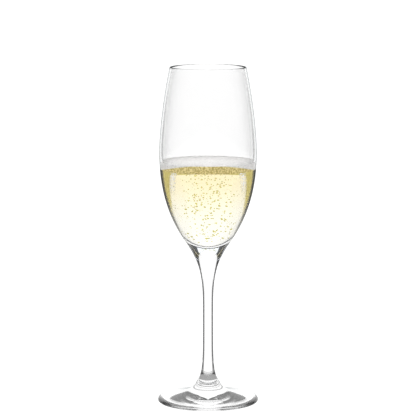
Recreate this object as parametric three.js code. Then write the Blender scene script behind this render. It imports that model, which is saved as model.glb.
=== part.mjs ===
// A champagne flute holding a serving of sparkling wine, in millimetres.
// The axis is Z, the foot stands on z = 0 and the rim is at the top.
//
// The glass is three bodies fused face to face, as they are joined at the furnace: a blown
// tulip bowl with a solid base, a drawn stem, and a foot with a pushed-up underside.
// The serving is two more: the wine, and the layer of foam that floats on it.
//
// Every body is turned about the axis, so each one is an outline of (radius, height) points.
import * as THREE from "three";

const SIDES = 48; // facets round the axis

// Bowl
const HEIGHT = 225; // table to rim
const RIM_RADIUS = 25.4; // outside of the lip
const RIM_LEAN = 12.5; // degrees that the wall leans inwards at the rim
const LIP_RADIUS = 0.65; // the rim is fire-polished to a half round
const BOWL_RADIUS = 32.4; // outside, at the widest
const WIDEST_HEIGHT = 168.7;
const WALL = 1.4; // at the widest
const CAVITY_FLOOR = 107.2; // lowest point of the inside

// The outline turns from bowl to stem at the neck, where it slopes evenly.
const NECK_RADIUS = 14.82;
const NECK_HEIGHT = 108.2;
const NECK_SLOPE = 35.4; // degrees from vertical

// Stem
const STEM_RADIUS = 3.35;
const STEM_TOP = 61; // the even part of the stem runs between these heights
const STEM_BOTTOM = 45;
const BOWL_JOIN = 97.2; // height where bowl and stem are fused
const FOOT_JOIN = 12.6; // height where stem and foot are fused
const FOOT_JOIN_RADIUS = 8;
const FOOT_JOIN_SLOPE = 28; // degrees from vertical

// Foot
const FOOT_RADIUS = 33.7;
const EDGE_HEIGHT = 1.3; // of the widest point
const EDGE_ROUNDING = 1.8; // the edge rolls over into the top on this radius
const TOP_SLOPE = 9; // degrees from level, where the top meets the rounding
const REST_OUTER = 31.2; // the flat ring that touches the table
const REST_INNER = 29.5;
const DOME_HEIGHT = 2.05; // the underside is pushed up inside the ring

// Serving
const WINE_LEVEL = 157.2;
const FOAM_EDGE = 162.4; // the foam climbs a little up the wall
const FOAM_LEVEL = 161.6;
const MENISCUS = 2.2; // width of that climb
const MENISCUS_CORNER = 0.66; // how near the wall it bends

// How far each curve keeps the direction it has at its end before it turns away.
// Above the widest part the inside shares the pulls of the outside, so the wall stays even.
const RIM_PULL = 16.6;
const ABOVE_WIDEST_PULL = 13.3;
const BELOW_WIDEST_PULL = 31.5;
const NECK_PULL_UP = 13;
const NECK_PULL_DOWN = 19;
const CAVITY_WALL_PULL = 28;
const CAVITY_FLOOR_PULL = 15.5;
const STEM_TOP_PULL = 19.7;
const STEM_BOTTOM_PULL = 27;
const FOOT_JOIN_PULL = 6;
const SHOULDER_PULL = 14;
const DOME_PULL = 16.2;

const rad = THREE.MathUtils.degToRad;
const at = (radius, height) => new THREE.Vector2(radius, height);
const step = (from, distance, angle) =>
  at(from.x + distance * Math.sin(rad(angle)), from.y + distance * Math.cos(rad(angle)));

// The curve's parameter at a height. Every curve here rises or falls all along its length.
function parameterAt(curve, height) {
  let [low, high] = [0, 1];
  const rises = curve.getPoint(1).y > curve.getPoint(0).y;
  for (let i = 0; i < 40; i++) {
    const middle = (low + high) / 2;
    const isBelow = curve.getPoint(middle).y < height;
    if (isBelow === rises) low = middle;
    else high = middle;
  }
  return (low + high) / 2;
}

// Points along a curve, from one height to another, both ends included.
function along(curve, from, to, count) {
  const [start, end] = [parameterAt(curve, from), parameterAt(curve, to)];
  return Array.from({ length: count + 1 }, (_, i) => {
    const point = curve.getPoint(THREE.MathUtils.lerp(start, end, i / count));
    if (i === 0) point.y = from;
    if (i === count) point.y = to;
    return point;
  });
}

function arc(centre, radius, fromAngle, toAngle, count) {
  return Array.from({ length: count + 1 }, (_, i) => {
    const angle = rad(THREE.MathUtils.lerp(fromAngle, toAngle, i / count));
    return at(centre.x + radius * Math.cos(angle), centre.y + radius * Math.sin(angle));
  });
}

// Outside of the glass, from the rim to the edge of the foot.
const widest = at(BOWL_RADIUS, WIDEST_HEIGHT);
const neck = at(NECK_RADIUS, NECK_HEIGHT);
const lipCentre = at(RIM_RADIUS - LIP_RADIUS, HEIGHT - LIP_RADIUS);
const lip = [
  ...arc(lipCentre, LIP_RADIUS, RIM_LEAN, 90, 3),
  ...arc(lipCentre, LIP_RADIUS, 90, RIM_LEAN + 180, 3).slice(1),
];
const lipOutside = lip[0];
const lipInside = lip[lip.length - 1];

const upperOutside = new THREE.CubicBezierCurve(
  lipOutside,
  step(lipOutside, -RIM_PULL, -RIM_LEAN),
  at(BOWL_RADIUS, WIDEST_HEIGHT + ABOVE_WIDEST_PULL),
  widest,
);
const lowerOutside = new THREE.CubicBezierCurve(
  widest,
  at(BOWL_RADIUS, WIDEST_HEIGHT - BELOW_WIDEST_PULL),
  step(neck, NECK_PULL_UP, NECK_SLOPE),
  neck,
);
const neckOutside = new THREE.CubicBezierCurve(
  neck,
  step(neck, -NECK_PULL_DOWN, NECK_SLOPE),
  at(STEM_RADIUS, STEM_TOP + STEM_TOP_PULL),
  at(STEM_RADIUS, STEM_TOP),
);
const footJoin = at(FOOT_JOIN_RADIUS, FOOT_JOIN);
const edgeCentre = at(FOOT_RADIUS - EDGE_ROUNDING, EDGE_HEIGHT);
const rounding = arc(edgeCentre, EDGE_ROUNDING, 0, 90 - TOP_SLOPE, 5);
const shoulder = rounding[rounding.length - 1];
const stemFlare = new THREE.CubicBezierCurve(
  at(STEM_RADIUS, STEM_BOTTOM),
  at(STEM_RADIUS, STEM_BOTTOM - STEM_BOTTOM_PULL),
  step(footJoin, FOOT_JOIN_PULL, -FOOT_JOIN_SLOPE),
  footJoin,
);
const footTop = new THREE.CubicBezierCurve(
  footJoin,
  step(footJoin, -FOOT_JOIN_PULL, -FOOT_JOIN_SLOPE),
  step(shoulder, -SHOULDER_PULL, 90 + TOP_SLOPE),
  shoulder,
);

// Inside of the bowl.
const widestInside = at(BOWL_RADIUS - WALL, WIDEST_HEIGHT);
const upperInside = new THREE.CubicBezierCurve(
  lipInside,
  step(lipInside, -RIM_PULL, -RIM_LEAN),
  at(widestInside.x, WIDEST_HEIGHT + ABOVE_WIDEST_PULL),
  widestInside,
);
const lowerInside = new THREE.CubicBezierCurve(
  widestInside,
  at(widestInside.x, WIDEST_HEIGHT - CAVITY_WALL_PULL),
  at(CAVITY_FLOOR_PULL, CAVITY_FLOOR),
  at(0, CAVITY_FLOOR),
);

// The wall that the serving touches, from the floor of the bowl upwards.
const wineWall = along(lowerInside, CAVITY_FLOOR, WINE_LEVEL, 13);
wineWall[0].x = 0;
const foamWall = along(lowerInside, WINE_LEVEL, FOAM_EDGE, 2);
const bareWall = along(lowerInside, FOAM_EDGE, WIDEST_HEIGHT, 1);

function bowlOutline() {
  const base = along(neckOutside, BOWL_JOIN, NECK_HEIGHT, 3);
  return [
    at(0, BOWL_JOIN),
    ...base,
    ...along(lowerOutside, NECK_HEIGHT, WIDEST_HEIGHT, 12).slice(1),
    ...along(upperOutside, WIDEST_HEIGHT, lipOutside.y, 8).slice(1),
    ...lip.slice(1),
    ...along(upperInside, lipInside.y, WIDEST_HEIGHT, 8).slice(1),
    ...bareWall.slice(0, -1).reverse(),
    ...foamWall.slice(0, -1).reverse(),
    ...wineWall.slice(0, -1).reverse(),
  ];
}

function stemOutline() {
  return [
    at(0, FOOT_JOIN),
    ...along(stemFlare, FOOT_JOIN, STEM_BOTTOM, 9),
    ...along(neckOutside, STEM_TOP, BOWL_JOIN, 10),
    at(0, BOWL_JOIN),
  ];
}

function footOutline() {
  const restEdge = at(REST_INNER, 0);
  const dome = new THREE.CubicBezierCurve(
    at(0, DOME_HEIGHT),
    at(DOME_PULL, DOME_HEIGHT),
    restEdge, // no pull here, so the dome meets the ring at a corner
    restEdge,
  );
  const underEdge = new THREE.EllipseCurve(
    REST_OUTER, EDGE_HEIGHT, FOOT_RADIUS - REST_OUTER, EDGE_HEIGHT, -Math.PI / 2, 0,
  );
  return [
    ...dome.getPoints(9),
    ...underEdge.getPoints(4),
    ...rounding.slice(1),
    ...along(footTop, shoulder.y, FOOT_JOIN, 9).slice(1),
    at(0, FOOT_JOIN),
  ];
}

function wineOutline() {
  return [...wineWall, at(0, WINE_LEVEL)];
}

function foamOutline() {
  const edge = foamWall[foamWall.length - 1];
  const meniscus = new THREE.QuadraticBezierCurve(
    edge,
    at(edge.x - MENISCUS_CORNER, FOAM_LEVEL),
    at(edge.x - MENISCUS, FOAM_LEVEL),
  );
  return [at(0, WINE_LEVEL), ...foamWall, ...meniscus.getPoints(4).slice(1), at(0, FOAM_LEVEL)];
}

const glass = () =>
  new THREE.MeshStandardMaterial({
    color: 0xf2f6f6, roughness: 0.02, metalness: 0, transparent: true, opacity: 0.3,
  });
const wine = () =>
  new THREE.MeshStandardMaterial({
    color: 0xf3e6a4, roughness: 0.02, metalness: 0, transparent: true, opacity: 0.6,
  });
const foam = () => new THREE.MeshStandardMaterial({ color: 0xe9e6e0, roughness: 0.9, metalness: 0 });

// Turns an outline about the Z axis. LatheGeometry turns it about Y, so it is tipped up after.
function turned(name, outline, material) {
  const geometry = new THREE.LatheGeometry(outline, SIDES).rotateX(Math.PI / 2);
  const mesh = new THREE.Mesh(geometry, material);
  mesh.name = name;
  return mesh;
}

const flute = new THREE.Group();
flute.name = "champagne_flute";
flute.add(
  turned("bowl", bowlOutline(), glass()),
  turned("stem", stemOutline(), glass()),
  turned("foot", footOutline(), glass()),
  turned("wine", wineOutline(), wine()),
  turned("foam", foamOutline(), foam()),
);

export default flute;
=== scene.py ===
"""A champagne flute of sparkling wine, seen in bright-field light. Metres, Z up."""

import math
import random

import bmesh
import bpy
import numpy as np
from mathutils import Matrix, Vector


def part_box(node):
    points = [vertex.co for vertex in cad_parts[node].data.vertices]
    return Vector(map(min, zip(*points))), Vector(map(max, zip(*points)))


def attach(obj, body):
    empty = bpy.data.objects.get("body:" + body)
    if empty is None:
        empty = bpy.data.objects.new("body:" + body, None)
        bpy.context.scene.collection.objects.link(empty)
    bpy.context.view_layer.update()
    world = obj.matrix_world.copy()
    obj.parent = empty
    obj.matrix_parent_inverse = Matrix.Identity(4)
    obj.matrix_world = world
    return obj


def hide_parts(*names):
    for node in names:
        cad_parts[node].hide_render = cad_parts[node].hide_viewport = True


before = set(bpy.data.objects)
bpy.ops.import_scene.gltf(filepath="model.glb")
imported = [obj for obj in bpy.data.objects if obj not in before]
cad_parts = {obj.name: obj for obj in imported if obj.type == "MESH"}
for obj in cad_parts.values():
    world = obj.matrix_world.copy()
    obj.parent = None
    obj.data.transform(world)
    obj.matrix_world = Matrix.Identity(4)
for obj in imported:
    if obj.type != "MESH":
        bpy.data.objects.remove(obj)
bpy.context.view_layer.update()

MM = 0.001

# ---------------------------------------------------------------- sizes, in mm

# Heights where the CAD parts end
WINE_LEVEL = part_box("wine")[1].z / MM
FOAM_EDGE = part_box("foam")[1].z / MM
BOWL_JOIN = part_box("bowl")[0].z / MM
RIM_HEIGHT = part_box("bowl")[1].z / MM
FOOT_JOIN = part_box("foot")[1].z / MM

NEAR = 0.005  # between two points that are the same one
TINY = 0.001  # a radius or a rise that counts as none
SAME_TURN = 0.001  # radians between points that are in one line round the axis
COARSE, FINE = 1.2, 0.12  # steps along an outline, where the CAD's chords are long or short
SHORT_CHORD = 1  # under this a chord is short
CORNER = 50  # degrees of turn, over which two chords meet in a corner
UNEVEN = 3  # how many times as long as the next a chord is, where a curve ends
SIDES = 240  # facets round the axis
CREASE = 30  # degrees between two faces, over which their edge is sharp
LIP_HEIGHT = 0.8  # of the bowl that belongs to its rounded lip
GAP = 0.03  # between the wine or the foam and the glass
TOUCHING = 0.05  # to the inside of the wall
FLAT_FLOOR = 5  # radius within which the floor of the bowl is nearly level
HALFWAY = 1  # into the wine or the foam, to tell its level faces apart

BUBBLE_SEED = 11
# Two kinds of bubble. For each: how many, how far from the axis, and radius.
COLUMN_BUBBLES, COLUMN_SPREAD, COLUMN_SIZE = 230, 13, (0.25, 0.5)
FINE_BUBBLES, FINE_SPREAD, FINE_SIZE = 260, 27, (0.12, 0.25)
OVER_FLOOR, UNDER_FOAM, OFF_WALL = 3, 1.5, 1  # the room that they leave

# ---------------------------------------------------------------- looks
# Lengths are in metres unless a line says mm, and "away" is how far a surface turns from the eye,
# 0 to 1.

GLASS_IOR = 1.52
WINE_IOR = 1.343
SQUARE_ON = 0.04  # away, up to which a wall still counts as facing the eye

# Limits of away, and the glass's colour beyond: painted shade that draws the dark outlines of glass
# seen edge on
DRY_EDGE_SHADE = ((0.66, 0.90), (0.48, 0.50, 0.50))
LIP_EDGE_SHADE = ((0.30, 0.70), (0.22, 0.23, 0.23))
FOOT_EDGE_SHADE = ((0.84, 1.0), (0.55, 0.57, 0.57))
CAVITY_EDGE_SHADE = ((0.60, 0.78), (0.02, 0.02, 0.02))
WET_EDGE_SHADE = ((0.60, 0.82), (0.12, 0.12, 0.10), (0.75, 0.75, 0.72))
EDGE_SHADE_HEIGHTS = (0.112, 0.140)  # where the last of those two colours gives way to the other

WINE_COLOR = (0.967, 0.865, 0.285)
WINE_DENSITY = 6.5  # in a metre the wine absorbs this many times what its colour lacks

# A golden stripe of painted shade and painted warm light lies between two limits of away. For each:
# its growth for each metre of depth, and its value at the top.
SHADE_STRIPE_START = (5.7, 0.235)
SHADE_STRIPE_END = (3.2, 0.337)
START_BLUR, END_BLUR = (-0.03, 0.01), (-0.01, 0.01)  # how gradual they are, in away
SHADE_STRIPE_DEPTH, SHADE_STRIPE_FADE = 0.031, 0.012  # where it has faded out, and over what length
FILM_DROP = 0.0105  # how far under the foam the film reaches where the wall turns away
FILM_BLUR = (-0.0002, 0.0002)
# Dark and light grains of the film under the foam and of the painted shade stripe
FILM_AND_PAINTED_SHADE_DARK, FILM_AND_PAINTED_SHADE_LIGHT = (0.66, 0.54, 0.15), (0.90, 0.80, 0.33)
FILM_GRAIN, FOAM_GRAIN = 0.5, 1.0  # mm
TINT, TINT_HEIGHTS = (0.97, 0.935, 0.84), (0.122, 0.157)  # the film's faint tint elsewhere

# Painted highlights: white specks just before the stripe
HIGHLIGHT_SPECK_START = (-0.09, -0.06)  # away less the stripe's start
HIGHLIGHT_SPECK_DEPTH, HIGHLIGHT_SPECK_FADE = 0.016, 0.006
HIGHLIGHT_SPECK_GRAIN = 0.8  # mm
HIGHLIGHT_SPECK_CUT = (0.5, 0.6)  # grains over this are specks

WET_DROP = 0.015  # how far the wet part of the foam stops under its edge, where it turns away
WET_BLUR = (-0.0003, 0.0003)
WET_DARK, WET_LIGHT = (0.52, 0.41, 0.13), (0.98, 0.84, 0.42)
FOAM_DARK, FOAM_LIGHT = (0.74, 0.73, 0.72), (0.98, 0.97, 0.96)
# The underside glows: painted light through the middle of the foam, fading to painted shade near
# the wall
UNDERSIDE_GLOW_MIDDLE, UNDERSIDE_GLOW_EDGE = (0.74, 0.80, 1.0), (0.08, 0.084, 0.10)
UNDERSIDE_SHADE = (0.020, 0.022)  # it turns from one to the other this far from the axis
UNDERSIDE_LIGHT = 1.5
GRAIN_CUT = (0.35, 0.65)  # of the noise that makes grains, between which it goes from 0 to 1
BUBBLE_COLOR = (0.92, 0.89, 0.50)

# ---------------------------------------------------------------- outlines


def cad_outline(node):
    """The outline that a CAD node was turned from, as (radius, height) in mm. It starts at the
    lowest point on the axis."""
    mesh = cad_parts[node].data
    co = np.array([v.co for v in mesh.vertices]) / MM
    radius = np.hypot(co[:, 0], co[:, 1])
    azimuth = np.arctan2(co[:, 1], co[:, 0])
    on_axis = radius < NEAR
    turn = np.abs(azimuth - azimuth[radius.argmax()])
    chosen = on_axis | (np.minimum(turn, math.tau - turn) < SAME_TURN)
    points, point_of = [], {}
    for i in np.flatnonzero(chosen):
        here = (0 if on_axis[i] else radius[i], co[i, 2])
        near = [k for k, p in enumerate(points) if math.dist(p, here) < NEAR]
        if not near:
            near = [len(points)]
            points.append(here)
        point_of[i] = near[0]
    links = {k: set() for k in range(len(points))}
    for edge in mesh.edges:
        a, b = (point_of.get(v) for v in edge.vertices)
        if a is not None and b is not None and a != b:
            links[a].add(b)
            links[b].add(a)
    path = [min((k for k in links if points[k][0] == 0), key=lambda k: points[k][1])]
    while len(path) < len(points):
        path.append(min(k for k in links[path[-1]] if k not in path))
    return np.array([points[k] for k in path])


def cubic(points, spacing):
    """Points about spacing mm apart on the smooth curve through points. The curve is level where
    it meets the axis."""
    points = np.asarray(points, float)
    if len(points) < 3:
        count = max(1, math.ceil(np.linalg.norm(points[-1] - points[0]) / spacing))
        return points[0] + np.linspace(0, 1, count + 1)[:, None] * (points[-1] - points[0])
    mirror = np.array([-1.0, 1.0])
    head = points[1:4][::-1] * mirror if points[0][0] < TINY else points[:0]
    tail = points[-4:-1][::-1] * mirror if points[-1][0] < TINY else points[:0]
    full = np.vstack([head, points, tail])
    gaps = np.linalg.norm(np.diff(full, axis=0), axis=1)
    n = len(full)
    rows, rhs = np.zeros((n, n)), np.zeros((n, 2))
    for i in range(1, n - 1):
        rows[i, i - 1 : i + 2] = gaps[i - 1], 2 * (gaps[i - 1] + gaps[i]), gaps[i]
        rhs[i] = 6 * ((full[i + 1] - full[i]) / gaps[i] - (full[i] - full[i - 1]) / gaps[i - 1])
    rows[0, :2] = 1, -1  # the bend is even over the first and last spans
    rows[-1, -2:] = -1, 1
    bend = np.linalg.solve(rows, rhs)
    first, last = len(head), len(head) + len(points) - 1
    out = [full[first]]
    for i in range(first, last):
        h = gaps[i]
        count = max(1, math.ceil(h / spacing))
        for k in range(1, count + 1):
            b = k / count
            a = 1 - b
            curve = (a**3 - a) * bend[i] + (b**3 - b) * bend[i + 1]
            out.append(a * full[i] + b * full[i + 1] + curve * h * h / 6)
    return np.array(out)


def smooth_outline(points):
    """The CAD outline with its curves made smooth. It still breaks at corners, at the ends of flats
    and where short chords meet long ones, as at the lip."""
    points = np.asarray(points, float)
    steps = np.diff(points, axis=0)
    length = np.linalg.norm(steps, axis=1)
    breaks = [0]
    for i in range(1, len(points) - 1):
        turn = steps[i - 1] @ steps[i] / (length[i - 1] * length[i])
        flat = abs(steps[i - 1][1]) < TINY or abs(steps[i][1]) < TINY
        uneven = max(length[i], length[i - 1]) > UNEVEN * min(length[i], length[i - 1])
        if turn < math.cos(math.radians(CORNER)) or flat or uneven:
            breaks.append(i)
    breaks.append(len(points) - 1)
    runs = []
    for a, b in zip(breaks, breaks[1:]):
        spacing = FINE if length[a:b].max() < SHORT_CHORD else COARSE
        runs.append(cubic(points[a : b + 1], spacing))
    return np.vstack([runs[0]] + [r[1:] for r in runs[1:]])


# ---------------------------------------------------------------- meshes


def add_piece(name, bm, materials):
    """A new object in the scene, with the faces of bm."""
    mesh = bpy.data.meshes.new(name)
    bm.to_mesh(mesh)
    bm.free()
    for material in materials:
        mesh.materials.append(material)
    piece = bpy.data.objects.new(name, mesh)
    bpy.context.scene.collection.objects.link(piece)
    return piece


def turned(name, outline, materials, pick):
    """A closed piece turned about Z from an outline in mm that starts and ends on the axis.
    pick(r, z, flat) gives the material's place in the list for a band of faces."""
    bm = bmesh.new()
    angles = [math.tau * i / SIDES for i in range(SIDES)]
    rings = []
    for r, z in outline:
        ring = [(r * MM * math.cos(a), r * MM * math.sin(a), z * MM) for a in angles]
        if r < TINY:
            ring = [(0, 0, z * MM)]
        rings.append([bm.verts.new(point) for point in ring])
    for (r0, z0), (r1, z1), low, high in zip(outline, outline[1:], rings, rings[1:]):
        index = pick((r0 + r1) / 2, (z0 + z1) / 2, abs(z1 - z0) < TINY)
        for i in range(SIDES):
            places = ((low, i), (low, i + 1), (high, i + 1), (high, i))
            corners = [ring[k % len(ring)] for ring, k in places]
            face = bm.faces.new(list(dict.fromkeys(corners)))
            face.smooth = True
            face.material_index = index
    bmesh.ops.recalc_face_normals(bm, faces=bm.faces)
    for edge in bm.edges:
        if edge.calc_face_angle(0) > math.radians(CREASE):
            edge.smooth = False
    return add_piece(name, bm, materials)


# ---------------------------------------------------------------- materials


def new_material(name):
    material = bpy.data.materials.new(name)
    material.use_nodes = True
    tree = material.node_tree
    tree.nodes.clear()
    return material, tree, tree.nodes.new("ShaderNodeOutputMaterial")


def math_node(tree, operation, *values):
    """The output of a math node. Each value is a number or another node's output."""
    node = tree.nodes.new("ShaderNodeMath")
    node.operation = operation
    for socket, value in zip(node.inputs, values):
        if isinstance(value, (int, float)):
            socket.default_value = value
        else:
            tree.links.new(value, socket)
    return node.outputs[0]


def vector_node(tree, operation, vector):
    node = tree.nodes.new("ShaderNodeVectorMath")
    node.operation = operation
    tree.links.new(vector, node.inputs[0])
    return node


def facing_away(tree):
    """0 where the surface faces the ray squarely, 1 where it is seen edge on."""
    node = tree.nodes.new("ShaderNodeLayerWeight")
    node.inputs["Blend"].default_value = 0.5
    return node.outputs["Facing"]


def place(tree):
    """Where on the piece a point is, in metres."""
    return tree.nodes.new("ShaderNodeTexCoord").outputs["Object"]


def height(tree):
    split = tree.nodes.new("ShaderNodeSeparateXYZ")
    tree.links.new(place(tree), split.inputs[0])
    return split.outputs["Z"]


def from_axis(tree):
    across = vector_node(tree, "MULTIPLY", place(tree))
    across.inputs[1].default_value = (1, 1, 0)
    return vector_node(tree, "LENGTH", across.outputs[0]).outputs["Value"]


def rising(tree, value, low, high):
    """Goes smoothly from 0 to 1 as value goes from low to high."""
    node = tree.nodes.new("ShaderNodeMapRange")
    node.interpolation_type = "SMOOTHSTEP"
    node.inputs["From Min"].default_value = low
    node.inputs["From Max"].default_value = high
    tree.links.new(value, node.inputs["Value"])
    return node.outputs["Result"]


def blend(tree, factor, first, second):
    """A colour between two, each a tuple or another node's output."""
    node = tree.nodes.new("ShaderNodeMix")
    node.data_type = "RGBA"
    # The colour mix has its own sockets behind those for numbers and vectors.
    for i, value in ((0, factor), (6, first), (7, second)):
        socket = node.inputs[i]
        if isinstance(value, tuple):
            socket.default_value = (*value, 1)
        else:
            tree.links.new(value, socket)
    return node.outputs[2]


def grain(tree, size):
    """0 to 1 in grains of about size mm."""
    noise = tree.nodes.new("ShaderNodeTexNoise")
    noise.inputs["Scale"].default_value = 1 / (size * MM)
    noise.inputs["Detail"].default_value = 1
    tree.links.new(place(tree), noise.inputs["Vector"])
    return rising(tree, noise.outputs["Fac"], *GRAIN_CUT)


def matt(tree, color):
    node = tree.nodes.new("ShaderNodeBsdfDiffuse")
    tree.links.new(color, node.inputs["Color"])
    return node.outputs[0]


def refracting(tree, ior):
    node = tree.nodes.new("ShaderNodeBsdfGlass")
    node.inputs["Roughness"].default_value = 0
    node.inputs["IOR"].default_value = ior
    return node


def glass(name, ior, limits, edge, low_edge_shade=None):
    """Clear glass. Between the limits of away it takes its edge colour, painted shade that draws
    dark outlines where the glass is seen edge on. For a bowl the edge colour changes towards the
    base to a second one, also painted shade."""
    material, tree, out = new_material(name)
    node = refracting(tree, ior)
    seen_edge_on = rising(tree, facing_away(tree), *limits)
    if low_edge_shade:
        edge = blend(tree, rising(tree, height(tree), *EDGE_SHADE_HEIGHTS), low_edge_shade, edge)
    tree.links.new(blend(tree, seen_edge_on, (1, 1, 1), edge), node.inputs["Color"])
    tree.links.new(node.outputs[0], out.inputs["Surface"])
    return material


def weld():
    """The face where two bodies of glass are fused can't be seen."""
    material, tree, out = new_material("fused_face")
    tree.links.new(tree.nodes.new("ShaderNodeBsdfTransparent").outputs[0], out.inputs["Surface"])
    return material


def add_wine_volume(tree, out):
    volume = tree.nodes.new("ShaderNodeVolumeAbsorption")
    volume.inputs["Color"].default_value = (*WINE_COLOR, 1)
    volume.inputs["Density"].default_value = WINE_DENSITY
    tree.links.new(volume.outputs[0], out.inputs["Volume"])


def wine_top_material():
    material, tree, out = new_material("wine_top")
    tree.links.new(refracting(tree, WINE_IOR).outputs[0], out.inputs["Surface"])
    add_wine_volume(tree, out)
    return material


def wine_side_material():
    """The wine against the glass. Where the wall turns away a golden stripe of painted shade and
    painted warm light shows, with painted highlight specks beside it; a film of tiny bubbles shows
    under the foam."""
    material, tree, out = new_material("wine_side")
    away, z = facing_away(tree), height(tree)
    depth = math_node(tree, "SUBTRACT", WINE_LEVEL * MM, z)
    # Painted shade and warm light: a golden stripe where the wall turns away.
    start = math_node(tree, "MULTIPLY_ADD", depth, *SHADE_STRIPE_START)
    end = math_node(tree, "MULTIPLY_ADD", depth, *SHADE_STRIPE_END)
    past_start = math_node(tree, "SUBTRACT", away, start)
    begun = rising(tree, past_start, *START_BLUR)
    going = rising(tree, math_node(tree, "SUBTRACT", end, away), *END_BLUR)
    fading = rising(tree, math_node(tree, "SUBTRACT", SHADE_STRIPE_DEPTH, depth), 0, SHADE_STRIPE_FADE)
    stripe = math_node(tree, "MULTIPLY", math_node(tree, "MULTIPLY", begun, fading), going)
    reach = math_node(tree, "MULTIPLY_ADD", away, FILM_DROP, -FILM_DROP * SQUARE_ON)
    film = rising(tree, math_node(tree, "SUBTRACT", reach, depth), *FILM_BLUR)
    film_shade_and_highlights = math_node(tree, "MAXIMUM", stripe, math_node(tree, "MULTIPLY", film, going))
    # Painted highlights: white specks just before the stripe.
    beside = math_node(tree, "SUBTRACT", rising(tree, past_start, *HIGHLIGHT_SPECK_START), begun)
    shallow = rising(tree, math_node(tree, "SUBTRACT", HIGHLIGHT_SPECK_DEPTH, depth), 0, HIGHLIGHT_SPECK_FADE)
    highlight_specks = rising(tree, grain(tree, HIGHLIGHT_SPECK_GRAIN), *HIGHLIGHT_SPECK_CUT)
    highlight_specks = math_node(tree, "MULTIPLY", highlight_specks, math_node(tree, "MULTIPLY", beside, shallow))
    film_shade_and_highlights = math_node(tree, "MAXIMUM", film_shade_and_highlights, highlight_specks)
    inside = tree.nodes.new("ShaderNodeNewGeometry").outputs["Backfacing"]
    film_shade_and_highlights = math_node(tree, "SUBTRACT", film_shade_and_highlights, inside)
    color = blend(tree, grain(tree, FILM_GRAIN), FILM_AND_PAINTED_SHADE_DARK, FILM_AND_PAINTED_SHADE_LIGHT)
    color = blend(tree, highlight_specks, color, (1, 1, 1))
    clear_wall = tree.nodes.new("ShaderNodeBsdfTransparent")
    tint = blend(tree, rising(tree, z, *TINT_HEIGHTS), (1, 1, 1), TINT)
    tree.links.new(tint, clear_wall.inputs["Color"])
    mix = tree.nodes.new("ShaderNodeMixShader")
    tree.links.new(film_shade_and_highlights, mix.inputs[0])
    tree.links.new(clear_wall.outputs[0], mix.inputs[1])
    tree.links.new(matt(tree, color), mix.inputs[2])
    tree.links.new(mix.outputs[0], out.inputs["Surface"])
    add_wine_volume(tree, out)
    return material


def foam_material():
    """White grains above, and golden ones below, where the foam is wet. The wet part reaches
    higher up where the wall faces the eye."""
    material, tree, out = new_material("foam_bubbles")
    away, z = facing_away(tree), height(tree)
    limit = math_node(tree, "MULTIPLY_ADD", away, -WET_DROP, FOAM_EDGE * MM + WET_DROP * SQUARE_ON)
    dry = rising(tree, math_node(tree, "SUBTRACT", z, limit), *WET_BLUR)
    white = blend(tree, grain(tree, FOAM_GRAIN), FOAM_DARK, FOAM_LIGHT)
    gold = blend(tree, grain(tree, FOAM_GRAIN), WET_DARK, WET_LIGHT)
    color = blend(tree, dry, gold, white)
    tree.links.new(matt(tree, color), out.inputs["Surface"])
    return material


def bubble_material():
    """Gas in wine. It bends the light out of the eye's way, so a bubble is a golden-brown dot."""
    material, tree, out = new_material("bubble")
    node = refracting(tree, 1 / WINE_IOR)
    node.inputs["Color"].default_value = (*BUBBLE_COLOR, 1)
    tree.links.new(node.outputs[0], out.inputs["Surface"])
    return material


def foam_underside_material():
    """The underside glows with painted light, as light comes through the middle of the foam. The
    foam is thicker near the wall, and there the glow is dimmed to painted shade.
    """
    material, tree, out = new_material("foam_underside")
    shade = rising(tree, from_axis(tree), *UNDERSIDE_SHADE)
    light = tree.nodes.new("ShaderNodeEmission")
    tree.links.new(blend(tree, shade, UNDERSIDE_GLOW_MIDDLE, UNDERSIDE_GLOW_EDGE), light.inputs["Color"])
    light.inputs["Strength"].default_value = UNDERSIDE_LIGHT
    tree.links.new(light.outputs[0], out.inputs["Surface"])
    return material


# ---------------------------------------------------------------- pieces

bowl_line = smooth_outline(cad_outline("bowl"))
stem_line = smooth_outline(cad_outline("stem"))
foot_line = smooth_outline(cad_outline("foot"))
wine_line = smooth_outline(cad_outline("wine"))
foam_line = smooth_outline(cad_outline("foam"))
INSIDE = bowl_line[np.argmax(bowl_line[:, 1]) :]  # from the rim down to the axis
CAVITY_FLOOR = INSIDE[-1, 1]


def inside_radius(z):
    return float(np.interp(z, INSIDE[::-1, 1], INSIDE[::-1, 0]))


def touches_serving(r, z):
    return CAVITY_FLOOR < z < FOAM_EDGE and r < inside_radius(z) + TOUCHING


# The edge colours of these glasses are painted shade.
clear = glass("clear_glass", GLASS_IOR, *DRY_EDGE_SHADE)
lip = glass("lip_glass", GLASS_IOR, *LIP_EDGE_SHADE)
around_wine = glass("glass_around_wine", GLASS_IOR, *WET_EDGE_SHADE)
fused = weld()
wetted = glass("wetted_glass", GLASS_IOR / WINE_IOR, *CAVITY_EDGE_SHADE)
bowl_looks = [clear, fused, wetted, around_wine, lip]


def bowl_face(r, z, flat):
    look = clear
    if flat and z < BOWL_JOIN + NEAR:
        look = fused
    elif touches_serving(r, z):
        look = wetted
    elif CAVITY_FLOOR < z < WINE_LEVEL:
        look = around_wine
    elif z > RIM_HEIGHT - LIP_HEIGHT:
        look = lip
    return bowl_looks.index(look)


bowl = turned("bowl_glass", bowl_line, bowl_looks, bowl_face)
stem = turned("stem_glass", stem_line, [clear, fused], lambda r, z, flat: int(flat))
foot = turned(
    "foot_glass",
    foot_line,
    [glass("foot_glass", GLASS_IOR, *FOOT_EDGE_SHADE), fused],
    lambda r, z, flat: int(flat and z > FOOT_JOIN - NEAR),
)

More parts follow.
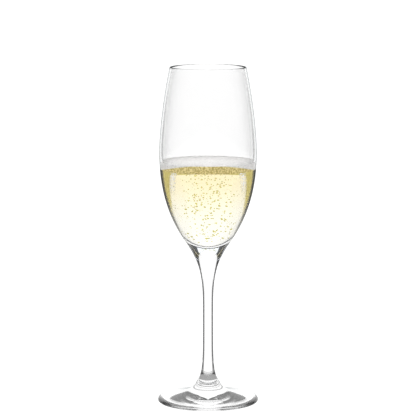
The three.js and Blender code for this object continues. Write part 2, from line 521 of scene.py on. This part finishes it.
# The wine and the foam stand off the glass by GAP. Near the axis the wine's whole outline is
# lifted by it, except the last two points.
wine_shape = np.array([(max(r - GAP, 0), z + GAP if r < FLAT_FLOOR else z) for r, z in wine_line])
wine_shape[-2:, 1] -= GAP
wine = turned(
    "wine_body",
    wine_shape,
    [wine_side_material(), wine_top_material()],
    lambda r, z, flat: int(flat and z > WINE_LEVEL - HALFWAY),
)
foam_shape = np.array([(max(r - GAP, 0), z) for r, z in foam_line])
foam = turned(
    "foam_head",
    foam_shape,
    [foam_material(), foam_underside_material()],
    lambda r, z, flat: int(flat and z < WINE_LEVEL + HALFWAY),
)


def bubble_places():
    """(x, y, z, radius) in mm: a loose column in the middle, and finer ones all over."""
    rng = random.Random(BUBBLE_SEED)
    found = []
    while len(found) < COLUMN_BUBBLES + FINE_BUBBLES:
        in_column = len(found) < COLUMN_BUBBLES
        spread, size = (COLUMN_SPREAD, COLUMN_SIZE) if in_column else (FINE_SPREAD, FINE_SIZE)
        z = rng.uniform(CAVITY_FLOOR + OVER_FLOOR, WINE_LEVEL - UNDER_FOAM)
        r = spread * math.sqrt(rng.random())
        turn = rng.uniform(0, math.tau)
        radius = rng.uniform(*size)
        if r + radius < inside_radius(z) - OFF_WALL:
            found.append((r * math.cos(turn), r * math.sin(turn), z, radius))
    return found


def all_bubbles():
    bm = bmesh.new()
    for x, y, z, radius in bubble_places():
        at = Matrix.Translation((x * MM, y * MM, z * MM))
        bmesh.ops.create_icosphere(bm, subdivisions=2, radius=radius * MM, matrix=at)
    for face in bm.faces:
        face.smooth = True
    return add_piece("bubbles", bm, [bubble_material()])


bubbles = all_bubbles()
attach(bubbles, "root")

for piece, node, slot in (
    (bowl, "bowl", "bowl_glass"),
    (stem, "stem", "stem_glass"),
    (foot, "foot", "foot_glass"),
    (wine, "wine", "sparkling_wine"),
    (foam, "foam", "wine_foam"),
):
    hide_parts(node)
    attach(piece, "root")

# ---------------------------------------------------------------- stage

LIGHT = 1.17  # radiance of the backdrop, just over white
# Brightness of the studio by the angle in degrees to either side of where the camera looks.
LEVEL = ((0, 1.0), (30, 1.0), (38, 0.25), (50, 0.2), (57, 0.03), (180, 0.03))
ABOVE = ((0, 1.0), (41, 1.0), (50, 0.08), (180, 0.08))
BELOW = ((0, 1.0), (33, 1.0), (45, 0.08), (180, 0.08))
RISE = (0, 12)  # degrees above the line of sight between which LEVEL gives way to ABOVE
FALL = (-45, -25)  # and BELOW to LEVEL
GATHERED = 1.5  # light that matt things get, for there is a soft light overhead too
UNDER_FOOT_SHADE = 0.36  # painted shade: how bright the floor's glow is under the foot, seen from straight above
UNDER_FOOT_SHADE_RADIUS = 0.045
FLOOR_REACH = 20  # to each side
FLOOR_DROP = 0.0002  # under the foot, so that the two don't share a face
CAMERA_PLACE, CAMERA_AIM = (0, -1.4846, 0.3377), (0, 0, 0.13097)
LENS, SENSOR_WIDTH = 195, 36  # mm
BOUNCES = 32  # enough to get through every wall of the glass and the wine
GLOSSY_BOUNCES, DIFFUSE_BOUNCES = 16, 6


def ramp_node(tree, factor, stops):
    """A colour ramp from (degrees, value) stops. factor is in half turns."""
    ramp = tree.nodes.new("ShaderNodeValToRGB")
    tree.links.new(factor, ramp.inputs[0])
    ramp.color_ramp.elements[0].position = 0
    ramp.color_ramp.elements[1].position = 1
    while len(ramp.color_ramp.elements) < len(stops):
        ramp.color_ramp.elements.new(0.5)
    for element, (angle, value) in zip(ramp.color_ramp.elements, stops):
        element.position = angle / 180
        element.color = (value, value, value, 1)
    return ramp.outputs[0]


def bright_field(tree, direction, floor_place=None):
    """Colour of the studio in a direction, or of a place on the floor seen in that direction.
    Light that a matt surface gathers is even."""
    nodes, links = tree.nodes, tree.links
    transform = nodes.new("ShaderNodeVectorTransform")
    transform.vector_type = "VECTOR"
    transform.convert_from = "WORLD"
    transform.convert_to = "CAMERA"
    links.new(direction, transform.inputs[0])
    split = nodes.new("ShaderNodeSeparateXYZ")
    links.new(transform.outputs[0], split.inputs[0])
    side = math_node(tree, "ARCTAN2", split.outputs["X"], split.outputs["Z"])
    side = math_node(tree, "DIVIDE", math_node(tree, "ABSOLUTE", side), math.pi)
    rise = math_node(tree, "ARCSINE", split.outputs["Y"])
    level = ramp_node(tree, side, LEVEL)
    below = ramp_node(tree, side, BELOW)
    if floor_place is not None:
        # Painted shade: the floor glows dimmer under the foot.
        reach = vector_node(tree, "LENGTH", floor_place).outputs["Value"]
        under = math_node(tree, "LESS_THAN", reach, UNDER_FOOT_SHADE_RADIUS)
        below = blend(tree, under, below, (UNDER_FOOT_SHADE, UNDER_FOOT_SHADE, UNDER_FOOT_SHADE))
    lower = blend(tree, rising(tree, rise, *map(math.radians, FALL)), below, level)
    upper = ramp_node(tree, side, ABOVE)
    field = blend(tree, rising(tree, rise, *map(math.radians, RISE)), lower, upper)
    path = nodes.new("ShaderNodeLightPath")
    gathered = math_node(tree, "GREATER_THAN", path.outputs["Diffuse Depth"], 0.5)
    return blend(tree, gathered, field, (GATHERED, GATHERED, GATHERED))


def add_world():
    world = bpy.data.worlds.new("studio")
    bpy.context.scene.world = world
    world.use_nodes = True
    # If the studio were sampled as a light, matt surfaces wouldn't gather it evenly.
    world.cycles.sampling_method = "NONE"
    tree = world.node_tree
    tree.nodes.clear()
    background = tree.nodes.new("ShaderNodeBackground")
    background.inputs["Strength"].default_value = LIGHT
    direction = tree.nodes.new("ShaderNodeTexCoord").outputs["Generated"]
    tree.links.new(bright_field(tree, direction), background.inputs["Color"])
    out = tree.nodes.new("ShaderNodeOutputWorld")
    tree.links.new(background.outputs[0], out.inputs["Surface"])


def add_floor():
    """The floor is a light table that glows like the backdrop behind it, dimmed by painted shade in
    a disc under the foot.
    """
    material, tree, out = new_material("floor_white")
    material.cycles.emission_sampling = "NONE"  # as for the world
    emit = tree.nodes.new("ShaderNodeEmission")
    emit.inputs["Strength"].default_value = LIGHT
    geometry = tree.nodes.new("ShaderNodeNewGeometry")
    onward = vector_node(tree, "SCALE", geometry.outputs["Incoming"])
    onward.inputs["Scale"].default_value = -1
    glow = bright_field(tree, onward.outputs[0], geometry.outputs["Position"])
    tree.links.new(glow, emit.inputs["Color"])
    tree.links.new(emit.outputs[0], out.inputs["Surface"])
    bm = bmesh.new()
    bmesh.ops.create_grid(bm, x_segments=1, y_segments=1, size=FLOOR_REACH)
    floor = add_piece("floor", bm, [material])
    floor.location.z = -FLOOR_DROP


def add_camera():
    data = bpy.data.cameras.new("camera")
    data.sensor_width = SENSOR_WIDTH
    data.lens = LENS
    camera = bpy.data.objects.new("camera", data)
    bpy.context.scene.collection.objects.link(camera)
    camera.location = CAMERA_PLACE
    sight = Vector(CAMERA_AIM) - camera.location
    camera.rotation_euler = sight.to_track_quat("-Z", "Y").to_euler()
    bpy.context.scene.camera = camera


add_world()
add_floor()
add_camera()

scene = bpy.context.scene
scene.view_settings.view_transform = "Standard"
scene.cycles.max_bounces = BOUNCES
scene.cycles.transmission_bounces = BOUNCES
scene.cycles.glossy_bounces = GLOSSY_BOUNCES
scene.cycles.transparent_max_bounces = BOUNCES
scene.cycles.diffuse_bounces = DIFFUSE_BOUNCES
